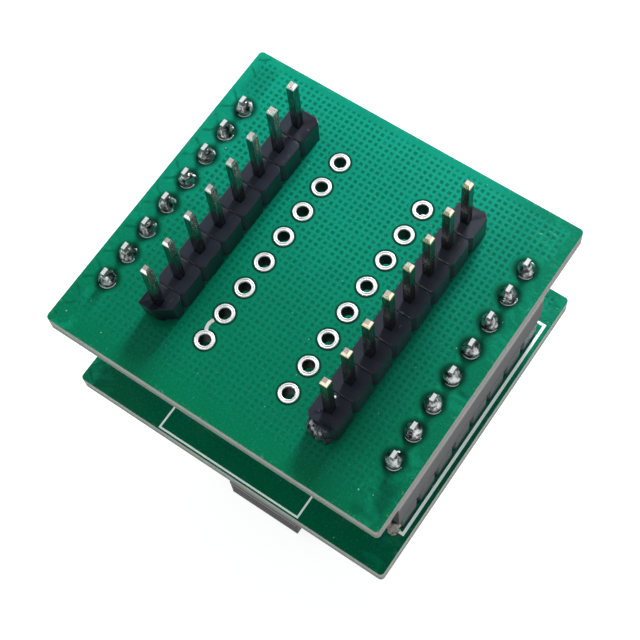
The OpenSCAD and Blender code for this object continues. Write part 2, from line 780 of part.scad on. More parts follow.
// Knuckle round the hinge pin, on a web that slopes down into the lid's back
module lid_knuckle() {
  root_y = lid_back - 1;
  translate([-knuckle_w / 2, 0, 0]) rotate([90, 0, 90]) linear_extrude(knuckle_w) union() {
    translate([hinge_y, hinge_z]) circle(knuckle_r);
    polygon([
      [root_y, panel_depth + 0.3],
      [lid_back + 0.3, panel_depth + 0.3],
      [hinge_y + knuckle_r * 0.8, hinge_z - knuckle_r * 0.6],
      [hinge_y, hinge_z],
      [root_y, lid_h - hinge_down]
    ]);
  }
}

// Pad with two rails that press the chip's leads on to the contacts, held by two riveted studs
module pressure_pad() {
  color(plastic) union() {
    translate([-pad_w / 2, -pad_l / 2, pad_z - pad_t]) cube([pad_w, pad_l, pad_t]);
    for (s = [-1, 1]) translate([s * tip_x - rail_w / 2, -rail_l / 2, pad_z - eps])
      cube([rail_w, rail_l, tip_z - lead_gap - pad_z + eps]);
    for (y = [-1, 1]) translate([0, y * pad_l / 4, panel_depth / 2])
      cylinder(h = pad_z - pad_t - panel_depth / 2 + eps, r = stud_r);
  }
}

module latch_pin() {
  color(steel) translate([-sock_w / 2 + 0.1, latch_y, latch_z]) rotate([0, 90, 0])
    cylinder(h = sock_w - 0.2, r = latch_pin_r);
}

// Coil spring with closed ends that presses on the heel of the latch's thumb piece
module latch_spring() {
  steps = 18;
  count = steps * latch_spring_turns;
  r = latch_spring_r - latch_wire_r;
  near_y = heel_y + spring_gap + latch_wire_r;
  far_y = slot_wall_y + spring_bore - spring_gap - latch_wire_r;
  closed = 2 * latch_wire_r + eps;
  open = (far_y - near_y - 2 * closed) / (latch_spring_turns - 2);
  turns = [for (i = [0 : count]) i / steps];
  path = [for (t = turns) [
    r * cos(360 * t),
    near_y + closed * (min(t, 1) + max(t - latch_spring_turns + 1, 0))
      + open * min(max(t - 1, 0), latch_spring_turns - 2),
    latch_spring_z + r * sin(360 * t)
  ]];
  color(steel) wire(path, [for (t = turns) [cos(360 * t), 0, sin(360 * t)]], latch_wire_r);
}

// Side view of the latch's arm in its hooked place, drawn in Y and Z about the latch's axis
module arm_profile() {
  out_y = arm_y - latch_y;
  in_y = arm_in_y - latch_y;
  low = hook_z - latch_z;
  top = low + hook_h;
  circle(latch_boss_r);
  polygon([
    [0, -latch_boss_r],
    [0, latch_boss_r],
    [in_y, latch_boss_r + 1.2],
    [in_y, low],
    [hook_y - latch_y, low],
    [ledge_y - latch_y, top],
    [out_y + 0.4, top],
    [out_y, top - 0.5],
    [out_y, -latch_boss_r]
  ]);
}

// Side view of the thumb piece in its released place, with grip grooves in its front and a heel
// that stops against the wall of the lid's slot
module thumb_profile() {
  front = -front_l - thumb_out - latch_y;
  heel = heel_y - latch_y;
  low = thumb_z - latch_z;
  high = low + thumb_h;
  grooves = 3;
  difference() {
    polygon([
      [front, low],
      [heel, low],
      [heel, low + heel_h],
      [latch_boss_r * 0.6, -latch_boss_r * 0.7],
      [0, 0],
      [arm_y - latch_y, 0.4],
      [front, high]
    ]);
    for (i = [1 : grooves]) translate([front, low + i * thumb_h / (grooves + 1)]) circle(0.18);
  }
}

module latch() {
  color(dark_plastic) translate([0, latch_y, latch_z]) difference() {
    union() {
      rotate([latch_turn, 0, 0]) rotate([90, 0, 90]) linear_extrude(latch_w, center = true) arm_profile();
      rotate([90, 0, 90]) linear_extrude(latch_w, center = true) thumb_profile();
    }
    rotate([0, 90, 0]) cylinder(h = 2 * latch_w, r = latch_pin_r + turn_gap, center = true);
  }
}

base_board();
plated_holes(-1);  // plated_holes_left
plated_holes(1);  // plated_holes_right
bare_trace();
pin_header(-1);  // pin_header_left
pin_header(1);  // pin_header_right
header_pins(-1);  // header_pins_left
header_pins(1);  // header_pins_right
header_solder(-1);  // header_solder_left
header_solder(1);  // header_solder_right
socket_strip(-1);  // socket_strip_left
socket_strip(1);  // socket_strip_right
strip_contacts(-1);  // strip_contacts_left
strip_contacts(1);  // strip_contacts_right
strip_solder(-1);  // strip_solder_left
strip_solder(1);  // strip_solder_right
socket_board();
plug_strip(-1);  // plug_strip_left
plug_strip(1);  // plug_strip_right
plug_pins(-1);  // plug_pins_left
plug_pins(1);  // plug_pins_right
plug_solder(-1);  // plug_solder_left
plug_solder(1);  // plug_solder_right
test_socket_base();
contact_stopper_plate();
chip_contacts(-1);  // chip_contacts_left
chip_contacts(1);  // chip_contacts_right
contact_solder(-1);  // contact_solder_left
contact_solder(1);  // contact_solder_right
hinge_pin();
hinge_spring();
lid();
pressure_pad();
latch_pin();
latch_spring();
latch();
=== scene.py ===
import math
import random

import bmesh
import bpy
from mathutils import Matrix, Vector, noise


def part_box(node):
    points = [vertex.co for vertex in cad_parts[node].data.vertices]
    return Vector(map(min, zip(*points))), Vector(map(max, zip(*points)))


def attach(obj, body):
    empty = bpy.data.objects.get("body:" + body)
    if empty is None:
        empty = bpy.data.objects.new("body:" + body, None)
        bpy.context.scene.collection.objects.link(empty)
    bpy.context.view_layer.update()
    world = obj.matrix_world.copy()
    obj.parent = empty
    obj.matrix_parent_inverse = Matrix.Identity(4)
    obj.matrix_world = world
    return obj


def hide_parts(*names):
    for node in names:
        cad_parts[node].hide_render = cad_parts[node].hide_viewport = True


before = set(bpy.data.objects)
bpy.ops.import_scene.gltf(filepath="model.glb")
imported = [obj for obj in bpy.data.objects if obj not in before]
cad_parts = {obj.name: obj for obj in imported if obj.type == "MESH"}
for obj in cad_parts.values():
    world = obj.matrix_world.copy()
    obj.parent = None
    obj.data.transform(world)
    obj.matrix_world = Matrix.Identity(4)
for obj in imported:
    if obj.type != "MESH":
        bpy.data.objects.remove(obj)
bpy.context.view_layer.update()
MM = 0.001

# places in millimetres, as in the CAD source
PITCH = 2.54
ROW = [(i - 3.5) * PITCH for i in range(8)]
LATTICE = 0.508
FACE_Z = 31.15
INNER_Z = 29.55
NEAR_Z = 18.6
FAR_Z = 17.0
HEAD_Z = 33.55


# Shader graph helper
class Graph:
    def __init__(self, name):
        self.mat = bpy.data.materials.new(name)
        self.mat.use_nodes = True
        self.t = self.mat.node_tree
        self.bsdf = self.t.nodes["Principled BSDF"]
        self.out = self.t.nodes["Material Output"]
        self._mm = None

    def node(self, kind, **props):
        n = self.t.nodes.new(kind)
        for k, v in props.items():
            setattr(n, k, v)
        return n

    def put(self, socket, value):
        if isinstance(value, bpy.types.NodeSocket):
            self.t.links.new(value, socket)
        elif value is not None:
            socket.default_value = value

    def math(self, op, a, b=None, c=None, clamp=False):
        n = self.node("ShaderNodeMath", operation=op, use_clamp=clamp)
        for i, v in enumerate((a, b, c)):
            if v is not None:
                self.put(n.inputs[i], v)
        return n.outputs[0]

    def add(self, a, b):
        return self.math("ADD", a, b)

    def sub(self, a, b):
        return self.math("SUBTRACT", a, b)

    def mul(self, a, b):
        return self.math("MULTIPLY", a, b)

    def lo(self, *vals):
        out = vals[0]
        for v in vals[1:]:
            out = self.math("MINIMUM", out, v)
        return out

    def hi(self, *vals):
        out = vals[0]
        for v in vals[1:]:
            out = self.math("MAXIMUM", out, v)
        return out

    def ramp(self, v, a, b, low=0.0, high=1.0):
        n = self.node("ShaderNodeMapRange", interpolation_type="SMOOTHSTEP")
        for i, x in enumerate((v, a, b, low, high)):
            self.put(n.inputs[i], x)
        return n.outputs[0]

    def mix(self, f, a, b, how="MIX"):
        n = self.node("ShaderNodeMix", data_type="RGBA", blend_type=how)
        self.put(n.inputs[0], f)
        for s, v in ((n.inputs[6], a), (n.inputs[7], b)):
            self.put(s, (*v, 1.0) if isinstance(v, tuple) and len(v) == 3 else v)
        return n.outputs[2]

    def mm(self):
        """The point on the object, in millimetres, in the object's own frame."""
        if self._mm is None:
            tc = self.node("ShaderNodeTexCoord")
            sc = self.node("ShaderNodeVectorMath", operation="SCALE")
            self.put(sc.inputs[0], tc.outputs["Object"])
            sc.inputs["Scale"].default_value = 1000.0
            self._mm = sc.outputs[0]
        return self._mm

    def xyz(self, v=None):
        n = self.node("ShaderNodeSeparateXYZ")
        self.put(n.inputs[0], v or self.mm())
        return n.outputs[0], n.outputs[1], n.outputs[2]

    def noise(self, scale, detail=3.0, rough=0.55, stretch=None, distort=0.0, out=0):
        n = self.node("ShaderNodeTexNoise")
        n.inputs["Scale"].default_value = scale
        n.inputs["Detail"].default_value = detail
        n.inputs["Roughness"].default_value = rough
        n.inputs["Distortion"].default_value = distort
        v = self.mm()
        if stretch:
            m = self.node("ShaderNodeVectorMath", operation="MULTIPLY")
            self.put(m.inputs[0], v)
            m.inputs[1].default_value = stretch
            v = m.outputs[0]
        self.put(n.inputs["Vector"], v)
        return n.outputs[out]

    def bump(self, height, strength, mm):
        n = self.node("ShaderNodeBump")
        n.inputs["Strength"].default_value = strength
        n.inputs["Distance"].default_value = mm * MM
        self.put(n.inputs["Height"], height)
        self.put(self.bsdf.inputs["Normal"], n.outputs[0])

    def set(self, **vals):
        for k, v in vals.items():
            s = self.bsdf.inputs[k.replace("_", " ")]
            self.put(s, (*v, 1.0) if isinstance(v, tuple) and len(v) == 3 else v)
        return self.mat


# Materials
def board_material(name, low, high, marked):
    """Glossy green mask on both faces, hatched copper under it, cut laminate on the edges."""
    g = Graph(name)
    x, y, z = g.xyz()
    ax = g.math("ABSOLUTE", x)
    ay = g.math("ABSOLUTE", y)
    # distance along Y to the nearest hole of the 2.54 mm rows, and beyond their ends
    fold = g.math("ABSOLUTE", g.mul(g.sub(g.math("FRACT", g.mul(y, 1 / PITCH)), 0.5), PITCH))
    dy = g.hi(fold, g.sub(ay, 8.89))

    def hole(cx):
        dx = g.sub(ax, cx)
        return g.math("SQRT", g.add(g.mul(dx, dx), g.mul(dy, dy)))

    def within(v, centre, half, soft):
        return g.ramp(g.math("ABSOLUTE", g.sub(v, centre)), half + soft, half)

    d_out = hole(13.0)
    # only the upper board has the header rows and the bare rows between them
    d_head = hole(7.62) if marked else 9.0
    d_opt = hole(3.81) if marked else 9.0
    wob = g.sub(g.noise(0.9, 2.0), 0.5)
    fine = g.noise(7.0, 4.0, 0.6)
    # hatch: dark squares between lighter copper lines
    wx = g.add(x, g.mul(g.sub(g.noise(1.7, 1.0), 0.5), 0.12))
    wy = g.add(y, g.mul(g.sub(g.noise(1.9, 1.0), 0.5), 0.12))
    u = g.math("ABSOLUTE", g.sub(g.math("FRACT", g.mul(g.add(wx, 0.117), 1 / LATTICE)), 0.5))
    v = g.math("ABSOLUTE", g.sub(g.math("FRACT", g.mul(g.add(wy, 0.220), 1 / LATTICE)), 0.5))
    square = g.mul(g.ramp(u, 0.38, 0.20), g.ramp(v, 0.38, 0.20))
    near = g.lo(d_opt, d_head, g.sub(d_out, 0.12))
    field = g.ramp(g.add(near, g.mul(wob, 0.12)), 1.12, 1.26)
    field = g.mul(field, g.ramp(g.add(ax, g.mul(wob, 0.9)), 14.25, 13.85))
    field = g.mul(field, g.ramp(g.add(y, g.mul(wob, 0.5)), 13.5, 13.1))
    field = g.mul(field, g.ramp(g.add(y, g.mul(wob, 1.6)), -12.9, -11.6))
    field = g.mul(field, g.sub(1.0, g.mul(g.ramp(ax, 12.2, 12.9), g.ramp(ay, 10.6, 9.8))))
    # hatch strength: uneven at random, and weaker towards -Y
    hatch_fade = g.mul(g.ramp(y, -13.0, 6.0, 0.60, 0.85), g.ramp(g.noise(1.3, 3.0), 0.25, 0.60, 0.45, 1.0))
    hatch = g.mul(g.mul(square, field), hatch_fade)
    # painted light: the light copper lines grow stronger towards +Y, the lit side
    lines = g.mul(g.mul(g.sub(1.0, square), field), g.ramp(y, -9.0, 12.0, 0.05, 0.25))
    # rings of bare laminate round the pads, and flux left beside the outer joints
    halo = g.hi(
        g.mul(g.ramp(d_opt, 1.02, 0.90), 0.92),
        g.mul(g.ramp(d_out, 1.26, 0.78), 0.92),
        g.mul(g.ramp(d_head, 1.25, 0.9), 0.4),
    )
    side = g.ramp(ax, 11.6, 12.6)
    swirl = g.noise(0.55, 3.0, 0.6, (1.0, 1.3, 1.0), 1.2)
    lumps = g.mul(g.ramp(swirl, 0.48, 0.66), side)
    # two strokes like an arrowhead beside each joint of the left row
    away = g.sub(g.mul(x, -1.0), 13.0)
    stroke = g.math("ABSOLUTE", g.sub(g.add(fold, g.mul(wob, 0.5)), g.mul(g.sub(away, 0.45), 0.70)))
    stroke = g.mul(g.ramp(stroke, 0.22, 0.02), g.mul(g.ramp(away, 0.70, 1.0), g.ramp(away, 1.95, 1.5)))
    stroke = g.mul(stroke, g.ramp(g.noise(0.8, 1.0), 0.38, 0.56))
    # soft smears near two corners and a nick, as in the photograph
    wx2 = g.add(x, g.mul(g.add(wob, g.mul(g.sub(fine, 0.5), 0.5)), 0.5))
    wy2 = g.add(y, g.mul(g.add(wob, g.mul(g.sub(fine, 0.5), 0.5)), 0.5))
    smear = g.mul(within(wx2, 14.00, 0.10, 0.85), within(wy2, -11.8, 0.6, 1.6))
    foot = g.mul(within(wx2, 13.40, 0.55, 0.95), within(wy2, -13.35, 0.05, 0.45))
    nick = g.mul(within(wx2, 14.45, 0.30, 0.45), within(wy2, -2.05, 0.06, 0.28))
    corner = g.mul(within(wx2, -13.45, 0.55, 0.80), within(wy2, 11.5, 1.1, 0.9))
    marks = g.hi(smear, g.mul(foot, 0.8), g.mul(nick, 0.9), g.mul(corner, 0.45)) if marked else 0.0

    # painted light: the mask grows lighter and bluer towards +Y, the side the key lamp lights
    tone = g.mix(g.ramp(y, -17.0, 17.0), (0.0003, 0.148, 0.062), (0.0026, 0.262, 0.166))
    tone = g.mix(g.ramp(g.noise(0.17, 2.0), 0.35, 0.65, 0.0, 0.20), tone, (0.0005, 0.115, 0.062))
    # painted shade: the mask grows darker towards the +X edge
    tone = g.mix(g.ramp(x, 5.0, 14.5, 0.0, 0.62), tone, (0.0006, 0.118, 0.050))
    tone = g.mix(hatch, tone, (0.0007, 0.100, 0.056))
    tone = g.mix(lines, tone, (0.0060, 0.340, 0.245))
    tone = g.mix(g.ramp(fine, 0.50, 0.85, 0.0, 0.6), tone, (0.012, 0.34, 0.25))
    tone = g.mix(g.ramp(fine, 0.48, 0.20, 0.0, 0.6), tone, (0.0005, 0.100, 0.058))
    tone = g.mix(g.mul(lumps, 0.35), tone, (0.0040, 0.300, 0.165))
    tone = g.mix(halo, tone, (0.0006, 0.038, 0.024))
    tone = g.mix(g.mul(stroke, 0.60), tone, (0.0004, 0.070, 0.036))
    tone = g.mix(g.mul(marks, 0.62), tone, (0.0004, 0.050, 0.024))
    # painted highlights: small pale specks standing for sparkle on the gloss
    glint_specks = g.ramp(g.noise(3.6, 1.0, 0.5), 0.785, 0.81)
    tone = g.mix(g.mul(glint_specks, 0.75), tone, (0.30, 0.55, 0.46))
    # paler torn mask along the cut edges
    rim = g.hi(g.ramp(ax, 14.55, 14.98), g.ramp(ay, 13.60, 13.98))
    tone = g.mix(g.mul(rim, g.ramp(g.noise(3.2, 4.0, 0.7), 0.56, 0.68, 0.0, 0.35)), tone, (0.16, 0.34, 0.26))
    # cut edges: woven glass in layers
    mid = (low + high) / 2
    half = (high - low) / 2
    edge = g.ramp(g.math("ABSOLUTE", g.sub(z, mid)), half - 0.035, half - 0.05)
    layer = g.noise(1.0, 3.0, 0.6, (1.2, 1.2, 9.0))
    burr = g.noise(5.0, 3.0, 0.7, (1.0, 1.0, 0.3))
    lam = g.mix(g.ramp(layer, 0.35, 0.65), (0.270, 0.310, 0.265), (0.440, 0.470, 0.410))
    # painted shade: the lower part of the cut edge is darker
    lam = g.mix(g.ramp(z, mid + 0.05, mid - 0.25, 0.0, 0.70), lam, (0.085, 0.125, 0.100))
    if marked:
        lam = g.mix(g.ramp(x, 14.90, 14.96), lam, (0.295, 0.280, 0.265))
    lam = g.mix(g.ramp(burr, 0.58, 0.75, 0.0, 0.6), lam, (0.16, 0.22, 0.18))
    base = g.mix(edge, tone, lam)
    rough = g.add(g.mul(g.noise(2.3, 3.0), 0.08), 0.12)
    rough = g.add(rough, g.mul(edge, 0.50))
    height = g.add(g.mul(hatch, -0.5), g.mul(fine, 0.10))
    height = g.add(height, g.mul(lumps, 0.5))
    height = g.sub(height, g.mul(stroke, 0.4))
    height = g.sub(height, g.mul(halo, 0.8))
    height = g.add(height, g.mul(edge, g.mul(burr, 1.2)))
    g.bump(height, 0.40, 0.04)
    return g.set(Base_Color=base, Roughness=rough, IOR=1.5)


def plastic_material(name, dark, light, rough, grain=6.0, white_end=False, bump=0.25, scuff_and_sheen=None):
    """Moulded black plastic with a fine grain and slightly lighter edges, partly wear and partly a painted edge
    highlight.
    """
    g = Graph(name)
    n = g.noise(grain, 4.0, 0.6)
    cloud = g.noise(0.5, 3.0, 0.6)
    col = g.mix(g.ramp(cloud, 0.3, 0.7), dark, light)
    geo = g.node("ShaderNodeNewGeometry")
    # lighter edges: partly wear, partly a painted edge highlight
    wear_and_edge_highlight = g.ramp(g.add(geo.outputs["Pointiness"], g.mul(g.sub(n, 0.5), 0.03)), 0.53, 0.60)
    col = g.mix(g.mul(wear_and_edge_highlight, 0.4), col, tuple(min(1.0, c * 3.0 + 0.03) for c in light))
    speck = g.ramp(g.noise(4.3, 1.0), 0.76, 0.80)
    col = g.mix(g.mul(speck, 0.35), col, (0.30, 0.31, 0.34))
    if white_end:
        x, y, z = g.xyz()
        torn = g.ramp(g.add(y, g.mul(g.sub(n, 0.5), 0.5)), -10.12, -10.3)
        torn = g.mul(torn, g.ramp(x, 8.9, 7.6))
        col = g.mix(g.mul(torn, g.ramp(n, 0.42, 0.6)), col, (0.20, 0.21, 0.23))
    # the strip's outer side is grey above a height, partly scuffing and partly a painted reflection of the white
    # surroundings; below it keeps the plain black
    if scuff_and_sheen:
        x, y, z = g.xyz()
        scuff_and_sheen_mask = g.mul(g.ramp(g.math("ABSOLUTE", x), 13.9, 14.1), g.ramp(g.add(z, n), 24.6, 25.8))
        col = g.mix(scuff_and_sheen_mask, col, scuff_and_sheen)
        rough = g.ramp(g.add(z, n), 24.6, 25.8, rough + 0.34, rough)
    g.bump(n, bump, 0.02)
    return g.set(Base_Color=col, Roughness=g.add(g.mul(g.sub(n, 0.5), 0.16), rough), IOR=1.5)


def metal_material(name, a, b, rough, bump=0.3, grain=4.0, stretch=None, cloud=0.8, metallic=1.0, wall=None, tail=None):
    """Bare metal. wall paints shade on it below that height inside a hole, and tail makes it tin above that height,
    with a painted highlight on its cut top.
    """
    g = Graph(name)
    x, y, z = g.xyz()
    n = g.noise(grain, 4.0, 0.6, stretch)
    col = g.mix(g.ramp(g.noise(cloud, 2.0), 0.36, 0.64), a, b)
    col = g.mix(g.mul(g.ramp(n, 0.60, 0.75), 0.35), col, tuple(c * 0.45 for c in a))
    if wall:
        # painted shade: near black below that height inside the hole
        col = g.mix(g.ramp(z, wall, wall - 0.10), col, (0.022, 0.026, 0.030))
    if tail:
        above = g.ramp(z, tail, tail + 0.05)
        col = g.mix(above, col, (0.42, 0.43, 0.46))
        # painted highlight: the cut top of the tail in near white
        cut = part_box("strip_contacts_right")[1][2] / MM
        col = g.mix(g.ramp(z, cut - 0.10, cut - 0.02), col, (0.96, 0.98, 0.98))
        metallic = g.sub(1.0, g.mul(above, 0.55))
    g.bump(n, bump, 0.02)
    return g.set(Base_Color=col, Metallic=metallic, Roughness=g.add(g.mul(n, 0.2), rough - 0.1))


def pin_material(name, shaft, tip, high):
    """Plated pin: the bevelled end is painted brighter as a highlight, its cut end bare, and the rest carries drawing
    lines and painted glint streaks.
    """
    g = Graph(name)
    x, y, z = g.xyz()
    lines = g.noise(6.0, 3.0, 0.6, (3.0, 3.0, 0.30))
    col = g.mix(g.ramp(g.noise(1.3, 2.0), 0.35, 0.65), shaft, tuple(c * 0.7 for c in shaft))
    # painted highlight: the bevelled end in a brighter colour
    col = g.mix(g.ramp(z, high - 0.44, high - 0.24), col, tip)
    end = g.ramp(z, high - 0.012, high - 0.004)
    col = g.mix(end, col, (0.52, 0.45, 0.43))
    col = g.mix(g.ramp(lines, 0.55, 0.72, 0.0, 0.35), col, tuple(c * 0.3 for c in shaft))
    # painted highlights: streaks along the pin in the bright end colour
    glint_streak = g.noise(9.0, 1.0, 0.5, (2.4, 2.4, 0.08))
    col = g.mix(g.ramp(glint_streak, 0.56, 0.72, 0.0, 0.55), col, tip)
    g.bump(lines, 0.45, 0.02)
    rough = g.add(g.mul(lines, 0.16), 0.12)
    return g.set(Base_Color=col, Metallic=1.0, Roughness=g.add(rough, g.mul(end, 0.35)))


def ink_material():
    g = Graph("silkscreen_ink_glowing")
    n = g.noise(5.0, 4.0, 0.65)
    col = g.mix(g.ramp(n, 0.35, 0.65), (0.74, 0.84, 0.82), (0.93, 0.97, 0.96))
    g.bump(n, 0.4, 0.02)
    # painted light: the ink glows a little, so it stays bright in the shade
    g.set(Emission_Color=(0.85, 1.0, 0.97), Emission_Strength=0.20)
    return g.set(Base_Color=col, Roughness=0.5, IOR=1.45)


mask_top = board_material("mask_base_board", INNER_Z, FACE_Z, True)
mask_low = board_material("mask_socket_board", FAR_Z, NEAR_Z, False)
header_black = plastic_material(
    "header_black", (0.0030, 0.0054, 0.0110), (0.0055, 0.0085, 0.0160), 0.31, white_end=True)
# grey for the strip's upper outer side: partly scuff, partly painted reflection
strip_black = plastic_material(
    "strip_black", (0.0060, 0.0060, 0.0080), (0.0090, 0.0090, 0.0115), 0.24, bump=0.1, scuff_and_sheen=(0.085, 0.080, 0.077))
socket_black = plastic_material("test_socket_black", (0.0170, 0.0150, 0.0165), (0.0260, 0.0230, 0.0250), 0.46, grain=9.0)
pad_grey = plastic_material("pad_grey", (0.030, 0.030, 0.034), (0.045, 0.045, 0.050), 0.5, grain=9.0)
ring_tin = metal_material(
    "ring_tin", (0.90, 0.92, 0.92), (0.97, 0.97, 0.96), 0.46, grain=3.0, metallic=0.45, wall=FACE_Z - 0.02)
trace_tin = metal_material("trace_tin", (0.86, 0.88, 0.88), (0.96, 0.96, 0.95), 0.40, grain=3.0, metallic=0.6)
solder_dull = metal_material(
    "solder_dull", (0.045, 0.045, 0.055), (0.74, 0.74, 0.76), 0.25, bump=1.0, grain=3.4, cloud=2.3)
solder_bright = metal_material("solder_bright", (0.55, 0.56, 0.58), (0.76, 0.76, 0.77), 0.22, bump=0.8, grain=2.2)
gold_plate = metal_material("gold_plate", (0.80, 0.62, 0.32), (0.88, 0.72, 0.42), 0.24, stretch=(2.0, 2.0, 0.4))
gold_tinned = metal_material(
    "gold_tinned", (0.80, 0.62, 0.32), (0.88, 0.72, 0.42), 0.24, stretch=(2.0, 2.0, 0.4), tail=FACE_Z)
steel_pin = metal_material("steel_pin", (0.62, 0.62, 0.64), (0.72, 0.72, 0.73), 0.28, stretch=(0.2, 3.0, 3.0))
# painted reflection: these shafts are given far darker than their plating, for the dark surroundings they mirror
pins_pale = pin_material("pins_pale", (0.17, 0.185, 0.18), (0.96, 0.96, 0.94), 39.25)
pins_gold = pin_material("pins_gold", (0.22, 0.21, 0.18), (0.98, 0.86, 0.60), 39.25)
pins_plug = pin_material("pins_plug", (0.70, 0.60, 0.42), (0.90, 0.76, 0.48), 26.7)
ink = ink_material()
flake_white = plastic_material("torn_flake", (0.09, 0.10, 0.12), (0.30, 0.31, 0.33), 0.5, bump=0.8)
flake_brown = plastic_material("torn_plug_end", (0.060, 0.050, 0.045), (0.22, 0.20, 0.18), 0.55, bump=0.8)

LOOK = {
    "base_board": mask_top, "socket_board": mask_low,
    "pin_header_left": header_black, "pin_header_right": header_black,
    "plug_strip_left": header_black, "plug_strip_right": header_black,
    "socket_strip_left": strip_black, "socket_strip_right": strip_black,
    "header_pins_left": pins_pale, "header_pins_right": pins_gold,
    "plug_pins_left": pins_plug, "plug_pins_right": pins_plug,
    "strip_contacts_left": gold_tinned, "strip_contacts_right": gold_tinned,
    "chip_contacts_left": gold_plate, "chip_contacts_right": gold_plate,
    "test_socket_base": socket_black, "contact_stopper_plate": socket_black,
    "lid": socket_black, "latch": socket_black, "pressure_pad": pad_grey,
    "hinge_pin": steel_pin, "latch_pin": steel_pin, "bare_trace": trace_tin,
    "hinge_spring": steel_pin, "latch_spring": steel_pin,
}
BEVEL = {
    "base_board": 0.03, "socket_board": 0.03, "pin_header_left": 0.05, "pin_header_right": 0.05,
    "plug_strip_left": 0.04, "plug_strip_right": 0.04, "socket_strip_left": 0.05,
    "socket_strip_right": 0.05, "test_socket_base": 0.06, "lid": 0.08, "latch": 0.07,
    "pressure_pad": 0.05,
}


def soft_edges(o, width):
    """Joins the CAD faces and rounds their edges a little, as moulding does."""
    w = o.modifiers.new("weld", "WELD")
    w.merge_threshold = 2e-6
    b = o.modifiers.new("edges", "BEVEL")
    b.width, b.segments, b.limit_method, b.angle_limit = width * MM, 2, "ANGLE", math.radians(35)
    b.harden_normals = False
    b.use_clamp_overlap = True


for name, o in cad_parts.items():
    mat = LOOK.get(name, solder_bright)
    if not o.material_slots:
        o.data.materials.append(mat)
    for s in o.material_slots:
        s.material = mat
    if name in BEVEL:
        soft_edges(o, BEVEL[name])


# Pieces
def make(name, bm, mat, body, smooth=True):
    me = bpy.data.meshes.new(name)
    bm.normal_update()
    bm.to_mesh(me)
    bm.free()
    for p in me.polygons:
        p.use_smooth = smooth
    o = bpy.data.objects.new(name, me)
    bpy.context.scene.collection.objects.link(o)
    me.materials.append(mat)
    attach(o, body)
    return o


def lathe(bm, profile, cx, cy, segs=40, wobble=0.0, seed=0.0, lean=(0.0, 0.0)):
    """Turns a closed or open profile of (r, z) in millimetres about the upright line at cx, cy."""
    z0 = profile[0][1]
    rings = []
    for r, z in profile:
        ring = []
        for i in range(segs):
            a = 2 * math.pi * i / segs
            k = r
            if wobble and r > 0:
                k += wobble * r * noise.noise(Vector((math.cos(a) * 1.6 + seed, math.sin(a) * 1.6, (z - z0) * 2.1 + seed)))
            h = z - z0
            ring.append(bm.verts.new(((cx + k * math.cos(a) + lean[0] * h) * MM,
                                      (cy + k * math.sin(a) + lean[1] * h) * MM, z * MM)))
        rings.append(ring)
    for a, b in zip(rings, rings[1:]):
        for i in range(segs):
            j = (i + 1) % segs
            bm.faces.new((a[i], a[j], b[j], b[i]))
    return rings


def cap(bm, ring, up=True):
    bm.faces.new(ring if up else ring[::-1])


# tinned barrels with two rims on each ring
def plated(side):
    bm = bmesh.new()
    for k, y in enumerate(ROW):
        prof = []
        for z, s in ((FACE_Z, 1), (INNER_Z, -1)):
            pts = [(0.790, 0.0), (0.788, 0.050), (0.762, 0.080), (0.715, 0.080), (0.680, 0.055), (0.645, 0.020),
                   (0.615, 0.055), (0.585, 0.080), (0.535, 0.080), (0.505, 0.055), (0.500, 0.0)]
            pts = [(r, z + s * h) for r, h in pts]
            prof += pts if s > 0 else pts[::-1]
        prof.append(prof[0])
        lathe(bm, prof, side * 3.81, y, 48, 0.02, k * 3.7 + side)
    bmesh.ops.remove_doubles(bm, verts=bm.verts, dist=1e-7)
    bmesh.ops.recalc_face_normals(bm, faces=bm.faces)
    name = "left" if side < 0 else "right"
    o = make("hole_rings_" + name, bm, ring_tin, "plug_unit")
    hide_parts("plated_holes_" + name)


def glint_crescent(bm, cx, cy, r, wide, mid, half, steps=18):
    """A painted highlight: a bright arc on a pad's rim that thins out to both ends."""
    rows = []
    for i in range(steps + 1):
        t = i / steps * 2 - 1
        a = mid + t * half
        w = wide * (1 - 0.85 * t * t)
        row = []
        for k, h in ((r, 0.0), (r + w, 0.0), (r + w, 0.03), (r + w * 0.5, 0.045), (r, 0.03)):
            row.append(bm.verts.new(((cx + k * math.cos(a)) * MM, (cy + k * math.sin(a)) * MM, (FACE_Z + h) * MM)))
        rows.append(row)
    for p, q in zip(rows, rows[1:]):
        for i in range(5):
            j = (i + 1) % 5
            bm.faces.new((p[i], q[i], q[j], p[j]))
    bm.faces.new(rows[0])
    bm.faces.new(rows[-1][::-1])


# solder fillets of the outer rows: a meniscus at the pad, a waist and a tip round the cut tail
def joints(side):
    rnd = random.Random(11 + side)
    bm = bmesh.new()
    pads = bmesh.new()
    for k, y in enumerate(ROW):
        top = 0.97 + rnd.uniform(-0.05, 0.03)
        full = rnd.uniform(-0.03, 0.05)
        prof = [(0.710, 0.0), (0.705, 0.05), (0.685 + full / 2, 0.13), (0.640 + full, 0.24), (0.565 + full, 0.36),
                (0.480 + full, 0.50), (0.405, 0.64), (0.335, 0.76), (0.24, top - 0.09), (0.10, top - 0.05)]
        prof = [(r, FACE_Z + h) for r, h in prof]
        lean = (rnd.uniform(-0.05, 0.03), rnd.uniform(-0.04, 0.04))
        rings = lathe(bm, prof, side * 13.0, y, 36, 0.13, rnd.uniform(0, 90), lean)
        cap(bm, rings[-1])
        cap(bm, rings[0], False)
        # painted highlight: a bright tinned arc on the +X, -Y side of each pad
        glint_crescent(pads, side * 13.0, y, 0.74, 0.075, rnd.uniform(-1.15, -0.85), rnd.uniform(0.7, 1.15))
    bmesh.ops.recalc_face_normals(bm, faces=bm.faces)
    bmesh.ops.recalc_face_normals(pads, faces=pads.faces)
    name = "left" if side < 0 else "right"
    o = make("solder_fillets_" + name, bm, solder_dull, "plug_unit")
    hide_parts("strip_solder_" + name)
    make("solder_glint_arcs_" + name, pads, ring_tin, "plug_unit")


